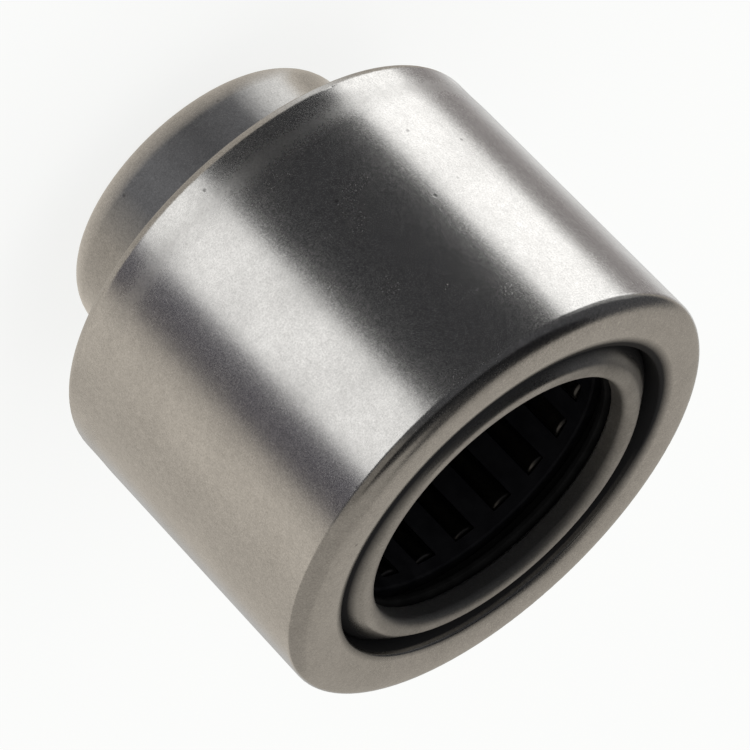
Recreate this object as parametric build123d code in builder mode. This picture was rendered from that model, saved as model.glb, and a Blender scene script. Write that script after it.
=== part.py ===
from build123d import *
from math import floor, pi
import os

# Closed-end pilot bearing for a flywheel.
# Millimetres, +Z up along the bearing's axis. The part stands on its closed nose:
# the origin is the centre of the nose's flat end, and the open mouth faces up.

# Needles and the shaft that they carry
shaft_diameter = 24.0
needle_diameter = 2.5
needle_length = 12.0
needle_end_radius = 0.3
raceway_clearance = 0.05

# Cage
cage_inner_gap = 0.35
cage_outer_gap = 0.3
cage_bar = 1.6
cage_rim = 1.1
cage_edge = 0.15
cage_groove_length = 6.0
cage_groove_depth = 0.45
pocket_clearance = 0.08
needle_end_play = 0.1
cage_end_play = 0.2

# Seal ring
seal_width = 1.9
seal_ring_depth = 1.4
seal_lip_thickness = 0.5
seal_lip_droop = 0.45
seal_lip_clearance = 0.04
seal_edge = 0.12

# Needle cup
cup_wall = 0.95
cup_recess = 0.4
cup_shoulder_width = 2.1
cup_shoulder_drop = 1.75
cup_shoulder_radius = 1.1
cup_back_corner_radius = 1.0
front_lip_thickness = 2.0
back_lip_thickness = 1.3
front_lip_gap = 0.15
back_lip_gap = 0.4
front_edge_radius = 0.75
lip_edge_radius = 0.25

# Housing
housing_wall = 4.5
chamber_length = 5.0
cup_seat_width = 2.8
shoulder_wall = 3.15
nose_diameter = 26.2
nose_length = 9.15
nose_wall = 2.4
end_wall = 2.6
rim_width = 2.6
rim_drop = 1.4
rim_share = 0.6
mouth_drop = 0.5
mouth_edge_radius = 0.25
nose_corner_radius = 2.6
nose_root_radius = 0.8
cavity_corner_radius = 1.0
back_edge_radius = 1.05
pilot_length = 2.6
pilot_relief = 0.05
pilot_ramp = 1.4
pilot_blend_radius = 15.0

# Radii, from the shaft outwards
shaft_radius = shaft_diameter / 2
needle_radius = needle_diameter / 2
pitch_radius = shaft_radius + needle_radius
raceway_radius = shaft_radius + needle_diameter + raceway_clearance
cage_inner_radius = shaft_radius + cage_inner_gap
cage_outer_radius = raceway_radius - cage_outer_gap
seal_inner_radius = raceway_radius - seal_ring_depth
seal_lip_radius = shaft_radius + seal_lip_clearance
front_hole_radius = shaft_radius + front_lip_gap
back_hole_radius = shaft_radius + back_lip_gap
cup_radius = raceway_radius + cup_wall
housing_radius = cup_radius + housing_wall
chamber_radius = cup_radius - cup_seat_width
nose_radius = nose_diameter / 2
nose_cavity_radius = nose_radius - nose_wall

# Heights, from the nose upwards
shoulder_z = nose_length
cavity_step_z = shoulder_z + shoulder_wall
cup_seat_z = cavity_step_z + chamber_length
raceway_bottom_z = cup_seat_z + back_lip_thickness
cage_bottom_z = raceway_bottom_z + cage_end_play
pocket_bottom_z = cage_bottom_z + cage_rim
needle_bottom_z = pocket_bottom_z + needle_end_play
needle_top_z = needle_bottom_z + needle_length
pocket_top_z = needle_top_z + needle_end_play
cage_top_z = pocket_top_z + cage_rim
seal_bottom_z = cage_top_z + cage_end_play
raceway_top_z = seal_bottom_z + seal_width
cup_top_z = raceway_top_z + front_lip_thickness
mouth_z = cup_top_z + cup_recess

# As many needles as the pitch circle holds, with a cage bar between each two
needle_count = floor(2 * pi * pitch_radius / (needle_diameter + cage_bar))


def corner(sketch, radius, height):
    """The corner of a turned section that lies at this radius and height."""
    place = Vector(radius, height)
    return min(sketch.vertices(), key=lambda vertex: (Vector(*vertex) - place).length)


def export(part, name):
    """Labels a finished piece and writes it under its own name."""
    part.label = name
    export_step(part, f"parts/{name}.step")


os.makedirs("parts", exist_ok=True)

# Housing: a turned sleeve, closed at the nose, with a stepped bore for the cup.
# A slightly smaller pilot at the back of the body eases it into its bore. The rim is a quarter
# ellipse outside its crest, and falls in a shallow arc from there to the mouth.
with BuildPart() as housing:
    with BuildSketch(Plane.XZ) as section:
        pilot_radius = housing_radius - pilot_relief
        pilot_top_z = shoulder_z + pilot_length
        body_bottom_z = pilot_top_z + pilot_ramp
        rim_reach = min(rim_width, rim_share * housing_wall)
        crest_radius = housing_radius - rim_reach
        mouth_edge_z = mouth_z - mouth_drop
        with BuildLine():
            EllipticalCenterArc(
                center=(crest_radius, mouth_z - rim_drop),
                x_radius=rim_reach,
                y_radius=rim_drop,
                start_angle=0,
                arc_size=90,
            )
            TangentArc(
                (crest_radius, mouth_z), (cup_radius, mouth_edge_z), tangent=(-1, 0)
            )
            Polyline(
                (cup_radius, mouth_edge_z),
                (cup_radius, cup_seat_z),
                (chamber_radius, cup_seat_z),
                (chamber_radius, cavity_step_z),
                (nose_cavity_radius, cavity_step_z),
                (nose_cavity_radius, end_wall),
                (0, end_wall),
                (0, 0),
                (nose_radius, 0),
                (nose_radius, shoulder_z),
                (pilot_radius, shoulder_z),
                (pilot_radius, pilot_top_z),
                (housing_radius, body_bottom_z),
                (housing_radius, mouth_z - rim_drop),
            )
        make_face()
        fillet(corner(section, cup_radius, mouth_edge_z), radius=mouth_edge_radius)
        fillet(corner(section, nose_cavity_radius, end_wall), radius=cavity_corner_radius)
        fillet(corner(section, nose_radius, 0), radius=nose_corner_radius)
        fillet(corner(section, nose_radius, shoulder_z), radius=nose_root_radius)
        fillet(corner(section, pilot_radius, shoulder_z), radius=back_edge_radius)
        fillet(corner(section, pilot_radius, pilot_top_z), radius=pilot_blend_radius)
        fillet(corner(section, housing_radius, body_bottom_z), radius=pilot_blend_radius)
    revolve(axis=Axis.Z)
export(housing.part, "housing")

# Needle cup: drawn ring with an inward lip at each end and a sloping front shoulder,
# pressed in just below the rim
with BuildPart() as needle_cup:
    with BuildSketch(Plane.XZ) as section:
        shoulder_radius = cup_radius - cup_shoulder_width
        shoulder_foot_z = cup_top_z - cup_shoulder_drop
        with BuildLine():
            Polyline(
                (front_hole_radius, cup_top_z),
                (shoulder_radius, cup_top_z),
                (cup_radius, shoulder_foot_z),
                (cup_radius, cup_seat_z),
                (back_hole_radius, cup_seat_z),
                (back_hole_radius, raceway_bottom_z),
                (raceway_radius, raceway_bottom_z),
                (raceway_radius, raceway_top_z),
                (front_hole_radius, raceway_top_z),
                close=True,
            )
        make_face()
        shoulder_edges = [
            corner(section, shoulder_radius, cup_top_z),
            corner(section, cup_radius, shoulder_foot_z),
        ]
        fillet(shoulder_edges, radius=cup_shoulder_radius)
        fillet(corner(section, cup_radius, cup_seat_z), radius=cup_back_corner_radius)
        fillet(corner(section, front_hole_radius, cup_top_z), radius=front_edge_radius)
        lip_edges = [
            corner(section, front_hole_radius, raceway_top_z),
            corner(section, back_hole_radius, cup_seat_z),
            corner(section, back_hole_radius, raceway_bottom_z),
        ]
        fillet(lip_edges, radius=lip_edge_radius)
    revolve(axis=Axis.Z)
export(needle_cup.part, "needle_cup")

# Seal ring: rubber ring under the front lip, with one thin lip that droops to the shaft
with BuildPart() as seal_ring:
    with BuildSketch(Plane.XZ) as section:
        lip_top_z = raceway_top_z - seal_lip_droop
        lip_bottom_z = lip_top_z - seal_lip_thickness
        with BuildLine():
            Polyline(
                (raceway_radius, raceway_top_z),
                (raceway_radius, seal_bottom_z),
                (seal_inner_radius, seal_bottom_z),
                (seal_inner_radius, raceway_top_z - seal_lip_thickness),
                (seal_lip_radius, lip_bottom_z),
                (seal_lip_radius, lip_top_z),
                (seal_inner_radius, raceway_top_z),
                close=True,
            )
        make_face()
        soft_edges = [
            corner(section, seal_lip_radius, lip_top_z),
            corner(section, seal_lip_radius, lip_bottom_z),
            corner(section, seal_inner_radius, seal_bottom_z),
        ]
        fillet(soft_edges, radius=seal_edge)
    revolve(axis=Axis.Z)
export(seal_ring.part, "seal_ring")

# Cage: moulded ring with a waist round its bars for grease, and a round pocket for
# each needle that is wider than its two mouths, so that the needle snaps in
with BuildPart() as cage:
    with BuildSketch(Plane.XY.offset(cage_bottom_z)):
        Circle(cage_outer_radius)
        Circle(cage_inner_radius, mode=Mode.SUBTRACT)
    extrude(amount=cage_top_z - cage_bottom_z)
    chamfer(cage.edges().filter_by(GeomType.CIRCLE), length=cage_edge)
    with BuildSketch(Plane.XY.offset((needle_bottom_z + needle_top_z) / 2)):
        Circle(cage_outer_radius)
        Circle(cage_outer_radius - cage_groove_depth, mode=Mode.SUBTRACT)
    extrude(amount=cage_groove_length / 2, both=True, mode=Mode.SUBTRACT)
    with BuildSketch(Plane.XY.offset(pocket_bottom_z)):
        with PolarLocations(pitch_radius, needle_count):
            Circle(needle_radius + pocket_clearance)
    extrude(amount=pocket_top_z - pocket_bottom_z, mode=Mode.SUBTRACT)
export(cage.part, "cage")

# Needles: one roller in each pocket
for number in range(needle_count):
    with BuildPart() as needle:
        with BuildSketch(Plane.XY.offset(needle_bottom_z)):
            with PolarLocations(pitch_radius, 1, start_angle=360 / needle_count * number):
                Circle(needle_radius)
        extrude(amount=needle_length)
        fillet(needle.edges().filter_by(GeomType.CIRCLE), radius=needle_end_radius)
    export(needle.part, f"needle_{number + 1:02d}")
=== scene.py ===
from math import cos, radians, sin

import bpy
from mathutils import Matrix, Vector


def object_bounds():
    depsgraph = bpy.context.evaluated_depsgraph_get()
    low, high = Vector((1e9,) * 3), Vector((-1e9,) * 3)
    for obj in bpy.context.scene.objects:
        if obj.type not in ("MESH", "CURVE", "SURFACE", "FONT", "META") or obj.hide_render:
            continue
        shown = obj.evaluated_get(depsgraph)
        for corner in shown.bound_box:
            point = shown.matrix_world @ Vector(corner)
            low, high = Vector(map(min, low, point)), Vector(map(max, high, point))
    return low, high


# Closed-end pilot bearing: finishes, studio and camera.
# Metres, in the part's own frame: +Z runs up from the closed nose to the open mouth,
# and an azimuth is an angle round +Z, from the camera's side (-Y) towards +X.
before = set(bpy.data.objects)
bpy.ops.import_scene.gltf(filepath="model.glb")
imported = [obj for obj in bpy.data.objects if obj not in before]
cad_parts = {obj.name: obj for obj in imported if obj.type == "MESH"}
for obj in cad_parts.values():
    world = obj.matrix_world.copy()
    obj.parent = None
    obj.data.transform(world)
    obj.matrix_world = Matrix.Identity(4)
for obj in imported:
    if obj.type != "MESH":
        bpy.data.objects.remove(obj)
cad_low, cad_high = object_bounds()

MM = 0.001
MICRON = 1e-6

# Places on the part that its finishes and the camera go by
cup_radii = [point.co.xy.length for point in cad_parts["needle_cup"].data.vertices]
lip_radius = min(cup_radii)
cup_radius = max(cup_radii)
pilot_top = 12.3 * MM
mouth = Vector((0, 0, cad_high.z))

# Camera: the photograph's viewpoint. Pixels count from its top left corner.
image_size = 750
sensor_width = 36.0
focal_pixels = 4940
camera_distance = 369.6 * MM
mouth_pixel = (507.0, 507.3)
axis_lean = radians(24.61)
axis_heading = radians(-46.1)
clip_start = 10 * MM

# Floor and plain light
floor_size = 20.0
floor_drop = 0.02 * MM
floor_white = (0.97, 0.975, 0.965)
floor_glow = 0.84

sky_light = 0.93
lamp_size = 0.5
lamp_distance = 0.8
lamp_direction = (-35, 55)
lamp_power = 0.8

# Grain of the steel: how large its features are, and how much they show
speck_size = 0.14 * MM
mottle_size = 0.55 * MM
cloud_size = 5 * MM
hairline_size = 0.2 * MM
hairline_squeeze = 0.03
hairline_share = 0.4
speckle = 0.2
speckle_roughness = 0.03
mottling = 0.055

# Pits: a small spot in each cell of a pattern, of which the surface meets a few.
# The spot's middle and edge are shares of a cell.
pit_cell = 3.4 * MM
pit_middle = 0.02
pit_edge = 0.06
pit_depth = 6 * MICRON
# Painted shade in the pits: the share of the steel's colour left at a pit's middle
pit_painted_shade = 0.55

# Painted shade round the mouth, where the housing meets the cup, drawn as a black surface: the radii
# where it starts and where it is full, and their centre. Lower down it fades out between two shares
# of the part's height. The groove's painted shade has a radius, and two depths between which its wall
# turns black.
PAINTED_SHADE = (0.012, 0.012, 0.013, 1)
painted_shade_roughness = 0.7
painted_shade_shine = 0.2
rim_painted_shade = (cup_radius + 0.9 * MM, cup_radius + 0.1 * MM, (-0.3 * MM, -0.4 * MM))
cup_painted_shade = (cup_radius - 1.3 * MM, cup_radius - 0.7 * MM, (-0.1 * MM, 0.8 * MM))
shade_foot = (0.6, 0.65)
rim_groove_shade = (cup_radius, 0.6 * MM, 0.95 * MM)
groove_edge = 0.1 * MM

# Painted shade on the lip: the radii where it starts and where it is full. It darkens towards
# two opposite sides, between two shares of the lip's radius.
lip_painted_shade = (lip_radius + 0.35 * MM, lip_radius + 0.05 * MM)
lip_shade_azimuth = -15
lip_shade_sides = (0.3, 0.8)
lip_shade_strength = (0.1, 0.75)

# Worn patches: the radii where each is full and where it ends, and its centre
wear_roughness = 0.25
lip_wear = (lip_radius + 0.35 * MM, lip_radius + 0.95 * MM, (0, 0))
shoulder_wear = (cup_radius - 2 * MM, cup_radius - 1.4 * MM, (-0.53 * MM, 1.47 * MM))

# Haze on the steel: a height, and how far the haze reaches from there
haze_roughness = 0.07
pilot_haze = (pilot_top, 1.5 * MM)

# Grease on rubber and plastic
grease_size = 1.5 * MM
grease_shine = 0.05

# Clean shading of the CAD's faces
corner_angle = radians(30)

# Cards and sheets that only the steel mirrors: their build, and the tints of their light
card_distance = 1.0
layer_gap = 0.02
card_step = 4
sheet_step = 1
BEIGE = (1.0, 0.92, 0.81)
GREY = (0.94, 0.95, 1.0)
VIOLET = (0.88, 0.84, 1.0)
WHITE = (1.0, 1.0, 0.99)
ROSE = (1.0, 0.93, 0.92)

# Cards, from the back layer to the front: azimuths, elevations, brightness, tint and layer.
# They make a beige room that is dark in front and above. The last two carry the low panels on up.
CARDS = {
    "room": ((-180, 180), (-89, 90), 0.34, BEIGE, 0),
    "room_back": ((150, 220), (-8, 55), 0.42, BEIGE, 1),
    "front_left": ((-146, 12), (2, 50), 0.075, GREY, 1),
    "front_right": ((12, 52), (2, 50), 0.2, BEIGE, 1),
    "dark_ceiling": ((-146, 52), (48, 84), 0.012, GREY, 2),
    "dark_top": ((-200, 50), (66, 90), 0.025, GREY, 3),
    "window_left_top": ((-117, -79), (-8, 14), 0.3, WHITE, 4),
    "dark_front_top": ((-79, 58), (-13, 4), 0.07, GREY, 4),
}

# Low panels all round: the radius and height of their foot and head
panel_foot = (490 * MM, -850 * MM)
panel_head = (970 * MM, -136 * MM)

# A bowl round the nose, from its floor to its wall, and a ring under the body
bowl_floor = (8 * MM, 12 * MM)
bowl_wall = 17 * MM
bowl_height = 6 * MM
bowl_outside = 0.4
ring_radii = (17.2 * MM, 29 * MM)

# Glow of the sheets: azimuth, brightness and tint, blended in between.
# Low panels: bright ones stand between dark gaps, and the wall of the part mirrors them.
ALL_ROUND = [
    (-180, 0.55, WHITE),
    (-170, 0.7, WHITE),
    (-160, 0.93, WHITE),
    (-151, 0.7, WHITE),
    (-144, 0.44, ROSE),
    (-134, 0.28, ROSE),
    (-118, 0.27, ROSE),
    (-117, 1.58, WHITE),
    (-79, 1.58, WHITE),
    (-78, 0.05, GREY),
    (-5, 0.05, GREY),
    (-3, 1.25, WHITE),
    (33, 1.25, WHITE),
    (35, 0.11, VIOLET),
    (57, 0.11, VIOLET),
    (62, 0.48, BEIGE),
    (76, 0.66, BEIGE),
    (90, 0.63, BEIGE),
    (106, 0.54, BEIGE),
    (126, 0.54, BEIGE),
    (144, 0.6, BEIGE),
    (160, 0.58, WHITE),
    (180, 0.55, WHITE),
]
# The bowl's floor and its wall, mirrored by the nose's corner and the nose's wall
UNDER_NOSE = [
    (-180, 0.5, BEIGE),
    (-150, 0.66, WHITE),
    (-100, 0.64, BEIGE),
    (-60, 0.55, BEIGE),
    (0, 0.52, BEIGE),
    (60, 0.68, BEIGE),
    (100, 0.74, BEIGE),
    (180, 0.5, BEIGE),
]
ROUND_NOSE = [
    (-180, 0.6, BEIGE),
    (-160, 0.8, WHITE),
    (-108, 0.85, WHITE),
    (-94, 0.56, BEIGE),
    (-80, 0.44, BEIGE),
    (-72, 0.62, BEIGE),
    (-63, 1.05, WHITE),
    (-52, 0.8, WHITE),
    (-36, 0.16, GREY),
    (-15, 0.11, GREY),
    (8, 0.18, GREY),
    (22, 0.17, GREY),
    (48, 0.4, BEIGE),
    (75, 0.5, BEIGE),
    (110, 0.75, BEIGE),
    (180, 0.6, BEIGE),
]
# The ring, mirrored by the rounded back edge of the body
UNDER_EDGE = [
    (-180, 0.5, BEIGE),
    (-70, 0.42, BEIGE),
    (-50, 0.75, WHITE),
    (-28, 0.44, BEIGE),
    (5, 0.38, BEIGE),
    (30, 0.42, BEIGE),
    (60, 0.6, BEIGE),
    (180, 0.5, BEIGE),
]


def towards(azimuth, elevation):
    """The direction at an azimuth and elevation in degrees."""
    turn, rise = radians(azimuth), radians(elevation)
    return Vector((sin(turn) * cos(rise), -cos(turn) * cos(rise), sin(rise)))


def add(tree, kind, inputs=None, **settings):
    """A shader node with its settings made and its inputs set or linked."""
    made = tree.nodes.new("ShaderNode" + kind)
    for name, value in settings.items():
        setattr(made, name, value)
    for name, value in (inputs or {}).items():
        socket = made.inputs[name]
        if isinstance(value, bpy.types.NodeSocket):
            tree.links.new(value, socket)
        else:
            socket.default_value = value
    return made


def blank_material(name):
    """A material with an empty node tree, and its output node."""
    material = bpy.data.materials.new(name)
    material.use_nodes = True
    tree = material.node_tree
    tree.nodes.clear()
    return material, tree, add(tree, "OutputMaterial")


def compute(tree, operation, first, second=0.0):
    """A value worked out from one or two others."""
    return add(tree, "Math", {0: first, 1: second}, operation=operation).outputs["Value"]


def noise(tree, place, size, detail=3.0, rough=0.55):
    """Noise whose features are about this large, in metres."""
    inputs = {"Vector": place, "Scale": 1 / size, "Detail": detail, "Roughness": rough}
    return add(tree, "TexNoise", inputs).outputs["Fac"]


def remap(tree, value, low, high, from_low=0.3, from_high=0.7):
    """A value of one range brought to another. Most noise lies between 0.3 and 0.7."""
    inputs = {"Value": value, "From Min": from_low, "From Max": from_high, "To Min": low, "To Max": high}
    return add(tree, "MapRange", inputs).outputs["Result"]


def tone(tree, share, low, high):
    """A colour between two, by a share."""
    inputs = {"Factor": share, "A": (*low, 1), "B": (*high, 1)}
    return add(tree, "Mix", inputs, data_type="RGBA").outputs["Result"]


def mixed(tree, share, first, second):
    """One surface that gives way to another, by a share."""
    return add(tree, "MixShader", {"Fac": share, 1: first, 2: second}).outputs["Shader"]


def bump(tree, height, depth, below=None):
    """A bump of this depth in metres, laid over another."""
    inputs = {"Height": height, "Distance": depth, "Strength": 1.0}
    if below is not None:
        inputs["Normal"] = below
    return add(tree, "Bump", inputs).outputs["Normal"]


def distance_out(tree, place, centre=(0, 0)):
    """How far a point lies from the part's axis, or from a line beside it, in metres."""
    moved = add(tree, "VectorMath", {0: place, 1: (*centre, 0)}, operation="SUBTRACT").outputs["Vector"]
    flat = add(tree, "VectorMath", {0: moved, 1: (1, 1, 0)}, operation="MULTIPLY").outputs["Vector"]
    return add(tree, "VectorMath", {0: flat}, operation="LENGTH").outputs["Value"]


def along_axis(tree, place):
    """How high a point lies, in metres."""
    return add(tree, "SeparateXYZ", {"Vector": place}).outputs["Z"]


def near_mouth(tree, place):
    """Whether a point lies in the upper part, where the painted shade lies."""
    foot, full = shade_foot
    return remap(tree, along_axis(tree, place), 0, 1, foot * mouth.z, full * mouth.z)


def in_groove(tree, place, radius, shallow, deep):
    """How much painted shade blackens a groove's wall: it turns black between two depths below the
    mouth.
    """
    inside = remap(tree, distance_out(tree, place), 0, 1, radius + groove_edge, radius)
    down = remap(tree, along_axis(tree, place), 0, 1, mouth.z - shallow, mouth.z - deep)
    return compute(tree, "MULTIPLY", inside, down)


def mouth_shade_share(tree, place, clean, full, centre, groove_shade):
    """How much painted shade lies at a point: it grows from one radius to another, and down a groove."""
    share = remap(tree, distance_out(tree, place, centre), 0, 1, clean, full)
    if groove_shade:
        share = compute(tree, "MAXIMUM", share, in_groove(tree, place, *groove_shade))
    return compute(tree, "MULTIPLY", share, near_mouth(tree, place))


def lip_shade_share(tree, place, clean, full):
    """How much painted shade lies on a lip at a point: it covers the lip, and is darker on two opposite
    sides.
    """
    near = remap(tree, distance_out(tree, place), 0, 1, clean, full)
    across = add(tree, "VectorMath", {0: place, 1: towards(lip_shade_azimuth, 0)}, operation="DOT_PRODUCT")
    side = compute(tree, "ABSOLUTE", across.outputs["Value"])
    thin_side, thick_side = lip_shade_sides
    # How strongly the painted shade darkens the lip
    coat = remap(tree, side, *lip_shade_strength, thin_side * full, thick_side * full)
    return compute(tree, "MULTIPLY", near, coat)


def worn_down(tree, place, patches):
    """How much rougher the steel is at a point, on worn patches."""
    most = 0.0
    for full, none, centre in patches:
        patch = remap(tree, distance_out(tree, place, centre), wear_roughness, 0, full, none)
        most = compute(tree, "MAXIMUM", patch, most)
    return most


def hazy(tree, place, height, reach):
    """How much rougher the steel is at a point, round a hazy height."""
    above = compute(tree, "SUBTRACT", along_axis(tree, place), height)
    away = compute(tree, "ABSOLUTE", above)
    return remap(tree, away, haze_roughness, 0, 0, reach)


def pits(tree, place):
    """A few small pits: 1 in their middle, and 0 between them."""
    cells = add(tree, "TexVoronoi", {"Vector": place, "Scale": 1 / pit_cell})
    return remap(tree, cells.outputs["Distance"], 1, 0, pit_middle, pit_edge)


def steel_color(tree, place, light, dark, speck, cloud, pit):
    """Cloudy steel, speckled and mottled, with painted shade in its pits."""
    shade = tone(tree, remap(tree, cloud, 0, 1), dark, light)
    mottle = noise(tree, place, mottle_size, detail=2)
    fleck = remap(tree, speck, 1 - speckle, 1 + speckle)
    fleck = compute(tree, "MULTIPLY", fleck, remap(tree, mottle, 1 - mottling, 1 + mottling))
    # Painted shade: the colour turns darker in the pits
    if pit:
        fleck = compute(tree, "MULTIPLY", fleck, remap(tree, pit, 1, pit_painted_shade, 0, 1))
    return add(tree, "VectorMath", {0: shade, "Scale": fleck}, operation="SCALE").outputs["Vector"]


def steel_relief(tree, place, speck, grain_depth, pit):
    """The relief of the steel: its grain, its hairlines along the axis, and its pits."""
    along = add(tree, "Mapping", {"Vector": place, "Scale": (1, 1, hairline_squeeze)}).outputs["Vector"]
    hairline = noise(tree, along, hairline_size, detail=1)
    relief = bump(tree, speck, grain_depth)
    relief = bump(tree, hairline, hairline_share * grain_depth, below=relief)
    if pit:
        relief = bump(tree, pit, -pit_depth, below=relief)
    return relief


def steel_roughness(tree, place, smooth, matt, speck, cloud, worn, haze):
    """The roughness of the steel: cloudy and speckled, and higher where it is worn or hazy."""
    roughness = remap(tree, cloud, matt, smooth)
    speckled = remap(tree, speck, -speckle_roughness, speckle_roughness)
    roughness = compute(tree, "ADD", roughness, speckled)
    if worn:
        roughness = compute(tree, "ADD", roughness, worn_down(tree, place, worn))
    if haze:
        roughness = compute(tree, "ADD", roughness, hazy(tree, place, *haze))
    return roughness


def steel(
    name,
    light,
    dark,
    smooth,
    matt,
    grain_depth,
    pitted=False,
    worn=(),
    haze=None,
    mouth_shade=None,
    groove_shade=None,
    lip_shade=None,
):
    """Bare steel with a speckled satin grain, under painted shade round the mouth and on the lip where
    it has them.
    """
    material, tree, output = blank_material(name)
    place = add(tree, "TexCoord").outputs["Object"]
    speck = noise(tree, place, speck_size, detail=3, rough=0.7)
    cloud = noise(tree, place, cloud_size, detail=5, rough=0.6)
    pit = pits(tree, place) if pitted else None
    relief = steel_relief(tree, place, speck, grain_depth, pit)
    inputs = {
        "Base Color": steel_color(tree, place, light, dark, speck, cloud, pit),
        "Metallic": 1.0,
        "Roughness": steel_roughness(tree, place, smooth, matt, speck, cloud, worn, haze),
        "Normal": relief,
    }
    surface = add(tree, "BsdfPrincipled", inputs).outputs["BSDF"]
    # Painted shade: a black surface mixed over the steel round the mouth, down the groove and on the lip
    if mouth_shade:
        inputs = {
            "Base Color": PAINTED_SHADE,
            "Roughness": painted_shade_roughness,
            "Specular IOR Level": painted_shade_shine,
            "Normal": relief,
        }
        shade_surface = add(tree, "BsdfPrincipled", inputs).outputs["BSDF"]
        share = mouth_shade_share(tree, place, *mouth_shade, groove_shade)
        if lip_shade:
            share = compute(tree, "MAXIMUM", share, lip_shade_share(tree, place, *lip_shade))
        surface = mixed(tree, share, surface, shade_surface)
    tree.links.new(surface, output.inputs["Surface"])
    return material


def moulded(name, light, dark, smooth, matt, grain_size, grain_depth):
    """Black rubber or plastic: a moulded grain under a cloudy film of grease."""
    material, tree, output = blank_material(name)
    place = add(tree, "TexCoord").outputs["Object"]
    coat = remap(tree, noise(tree, place, grease_size, detail=4), 0, 1)
    inputs = {
        "Base Color": tone(tree, coat, dark, light),
        "Roughness": remap(tree, coat, matt, smooth, 0, 1),
        "Specular IOR Level": grease_shine,
        "Normal": bump(tree, noise(tree, place, grain_size), grain_depth),
    }
    surface = add(tree, "BsdfPrincipled", inputs).outputs["BSDF"]
    tree.links.new(surface, output.inputs["Surface"])
    return material


def dress(node, material):
    """Gives a CAD node its finish and clean shading: round faces smooth, true corners crisp."""
    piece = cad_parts[node]
    piece.data.materials.clear()
    piece.data.materials.append(material)
    weld = piece.modifiers.new("weld", "WELD")
    weld.merge_threshold = MICRON
    corners = piece.modifiers.new("corners", "EDGE_SPLIT")
    corners.split_angle = corner_angle
    shading = piece.modifiers.new("shading", "WEIGHTED_NORMAL")
    shading.mode = "FACE_AREA_WITH_ANGLE"


def grid(name, rows):
    """A mesh object from rows of points, all of one length."""
    width = len(rows[0])
    points = [point for row in rows for point in row]
    faces = [
        (width * j + i, width * j + i + 1, width * (j + 1) + i + 1, width * (j + 1) + i)
        for j in range(len(rows) - 1)
        for i in range(width - 1)
    ]
    mesh = bpy.data.meshes.new(name)
    mesh.from_pydata(points, [], faces)
    made = bpy.data.objects.new(name, mesh)
    bpy.context.scene.collection.objects.link(made)
    return made


def steps(low, high, step):
    """Angles from low to high, about one step apart."""
    count = max(2, round((high - low) / step))
    return [low + (high - low) * i / count for i in range(count + 1)]


def light_up(made, brightness, tint):
    """Makes an object glow evenly, for mirror rays alone. Hands back its tree, glow and output."""
    material, tree, output = blank_material(made.name)
    glow = add(tree, "Emission", {"Color": (*tint, 1), "Strength": brightness}).outputs["Emission"]
    tree.links.new(glow, output.inputs["Surface"])
    material.cycles.emission_sampling = "NONE"
    made.data.materials.append(material)
    made.visible_camera = False
    made.visible_diffuse = False
    made.visible_transmission = False
    made.visible_volume_scatter = False
    made.visible_shadow = False
    return tree, glow, output


def card(name, azimuths, elevations, brightness, tint, layer):
    """A curved card far round the part. A higher layer hangs in front of a lower one."""
    reach = card_distance - layer_gap * layer
    rows = [
        [towards(azimuth, elevation) * reach for azimuth in steps(*azimuths, card_step)]
        for elevation in steps(*elevations, card_step)
    ]
    light_up(grid(name, rows), brightness, tint)


def blend(stops, azimuth):
    """The colour of a glow at an azimuth, between the two stops that hold it."""
    for (start, low, low_tint), (end, high, high_tint) in zip(stops, stops[1:]):
        if azimuth <= end:
            share = (azimuth - start) / (end - start)
            return (Vector(low_tint) * low).lerp(Vector(high_tint) * high, share)


def glow_by_point(made, stops_by_row, azimuths, outside):
    """Lights a sheet's inner side by its rows' stops, and its outer side evenly."""
    glow = made.data.color_attributes.new("glow", "FLOAT_COLOR", "POINT")
    colors = [(*blend(stops, azimuth), 1) for stops in stops_by_row for azimuth in azimuths]
    for point, color in zip(glow.data, colors):
        point.color = color
    tree, even, output = light_up(made, 1.0, outside)
    color = add(tree, "Attribute", attribute_name="glow").outputs["Color"]
    inner = add(tree, "Emission", {"Color": color}).outputs["Emission"]
    side = add(tree, "NewGeometry").outputs["Backfacing"]
    tree.links.new(mixed(tree, side, even, inner), output.inputs["Surface"])


def sheet(name, rings, outside=(0, 0, 0)):
    """A sheet round the axis for mirror rays, from rings of radius, height and glow."""
    azimuths = steps(-180, 180, sheet_step)
    rows = [
        [towards(azimuth, 0) * radius + Vector((0, 0, height)) for azimuth in azimuths]
        for radius, height, stops in rings
    ]
    glow_by_point(grid(name, rows), [stops for radius, height, stops in rings], azimuths, outside)


def white_floor():
    """A pale floor that keeps a faint shadow, and is clear when seen from below."""
    half = floor_size / 2
    rows = [[Vector((x, y, -floor_drop)) for x in (-half, half)] for y in (-half, half)]
    floor = grid("floor", rows)
    floor.visible_glossy = False
    material, tree, output = blank_material("floor")
    matt = add(tree, "BsdfDiffuse", {"Color": (*floor_white, 1)}).outputs["BSDF"]
    glow = add(tree, "Emission", {"Color": (*floor_white, 1)}).outputs["Emission"]
    seen = add(tree, "LightPath").outputs["Is Camera Ray"]
    upper = mixed(tree, compute(tree, "MULTIPLY", seen, floor_glow), matt, glow)
    clear = add(tree, "BsdfTransparent").outputs["BSDF"]
    side = add(tree, "NewGeometry").outputs["Backfacing"]
    tree.links.new(mixed(tree, side, upper, clear), output.inputs["Surface"])
    floor.data.materials.append(material)


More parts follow.
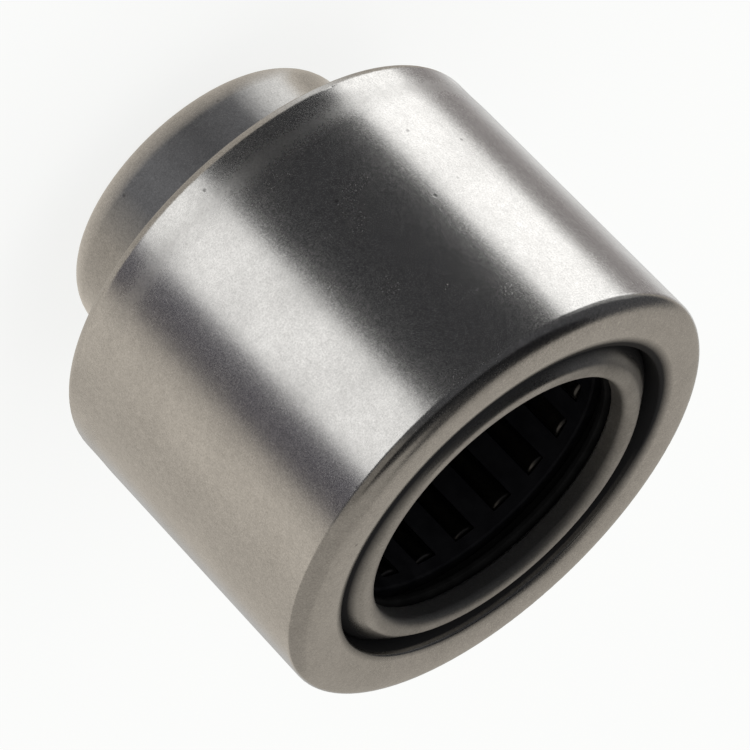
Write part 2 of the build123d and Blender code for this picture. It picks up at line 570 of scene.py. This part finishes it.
def sky():
    """An even sky: white where it is seen or mirrored, and a little dimmer as a light."""
    world = bpy.data.worlds.new("sky")
    bpy.context.scene.world = world
    world.use_nodes = True
    tree = world.node_tree
    tree.nodes.clear()
    path = add(tree, "LightPath").outputs
    seen = compute(tree, "MAXIMUM", path["Is Camera Ray"], path["Is Glossy Ray"])
    seen = compute(tree, "MAXIMUM", seen, path["Is Transmission Ray"])
    strength = remap(tree, seen, sky_light, 1.0, 0, 1)
    light = add(tree, "Background", {"Color": (1, 1, 1, 1), "Strength": strength})
    output = add(tree, "OutputWorld")
    tree.links.new(light.outputs["Background"], output.inputs["Surface"])


def lamp():
    """One large soft lamp, which leans the floor's shadow a little."""
    data = bpy.data.lights.new("lamp", "AREA")
    data.size = lamp_size
    data.energy = lamp_power
    made = bpy.data.objects.new("lamp", data)
    bpy.context.scene.collection.objects.link(made)
    back = towards(*lamp_direction)
    made.location = back * lamp_distance
    made.rotation_mode = "QUATERNION"
    made.rotation_quaternion = (-back).to_track_quat("-Z", "Y")
    made.visible_glossy = False


def camera():
    """A long lens that sees the mouth and the wall, with the axis slanting across the picture."""
    level = Vector((cos(axis_heading), sin(axis_heading), 0))
    axis = cos(axis_lean) * level + Vector((0, 0, sin(axis_lean)))
    across = Vector((sin(axis_heading), -cos(axis_heading), 0))
    turn = Matrix((across, axis.cross(across), axis))
    right = mouth_pixel[0] - image_size / 2
    down = mouth_pixel[1] - image_size / 2
    to_mouth = Vector((right, -down, -focal_pixels)) * (camera_distance / focal_pixels)
    data = bpy.data.cameras.new("camera")
    data.sensor_width = sensor_width
    data.lens = focal_pixels * sensor_width / image_size
    data.clip_start = clip_start
    data.clip_end = 2 * floor_size
    made = bpy.data.objects.new("camera", data)
    bpy.context.scene.collection.objects.link(made)
    made.matrix_world = Matrix.Translation(mouth - turn @ to_mouth) @ turn.to_4x4()
    bpy.context.scene.camera = made


def studio():
    """Floor, sky and lamp, and the surroundings that the steel mirrors."""
    white_floor()
    sky()
    lamp()
    for name, settings in CARDS.items():
        card(name, *settings)
    sheet("all_round", [(*panel_foot, ALL_ROUND), (*panel_head, ALL_ROUND)])
    bowl = [(radius, 0, UNDER_NOSE) for radius in bowl_floor]
    bowl += [(bowl_wall, height, ROUND_NOSE) for height in (0, bowl_height)]
    sheet("under_nose", bowl, outside=Vector(BEIGE) * bowl_outside)
    sheet("under_edge", [(radius, 0, UNDER_EDGE) for radius in ring_radii])


finishes = {
    "housing": steel(
        "housing_steel",
        light=(0.65, 0.64, 0.625),
        dark=(0.6, 0.59, 0.575),
        smooth=0.21,
        matt=0.26,
        grain_depth=1.2 * MICRON,
        pitted=True,
        haze=pilot_haze,
        # Painted shade round the housing's mouth and down the groove
        mouth_shade=rim_painted_shade,
        groove_shade=rim_groove_shade,
    ),
    "needle_cup": steel(
        "cup_steel",
        light=(0.57, 0.565, 0.555),
        dark=(0.5, 0.495, 0.485),
        smooth=0.26,
        matt=0.34,
        grain_depth=1.5 * MICRON,
        worn=(lip_wear, shoulder_wear),
        # Painted shade round the cup's shoulder and on its lip
        mouth_shade=cup_painted_shade,
        lip_shade=lip_painted_shade,
    ),
    "seal_ring": moulded(
        "seal_rubber",
        light=(0.007, 0.007, 0.007),
        dark=(0.004, 0.004, 0.004),
        smooth=0.5,
        matt=0.7,
        grain_size=0.1 * MM,
        grain_depth=4 * MICRON,
    ),
    "cage": moulded(
        "cage_plastic",
        light=(0.008, 0.008, 0.009),
        dark=(0.004, 0.004, 0.005),
        smooth=0.45,
        matt=0.65,
        grain_size=0.25 * MM,
        grain_depth=3 * MICRON,
    ),
}
# Needle steel painted dark: its colour stands in for the shade deep inside the bore
shaded_needle_finish = steel(
    "needle_steel",
    light=(0.15, 0.146, 0.142),
    dark=(0.1, 0.097, 0.094),
    smooth=0.3,
    matt=0.42,
    grain_depth=0.5 * MICRON,
)
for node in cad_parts:
    dress(node, finishes.get(node, shaded_needle_finish))

studio()
camera()
bpy.context.scene.view_settings.view_transform = "Standard"
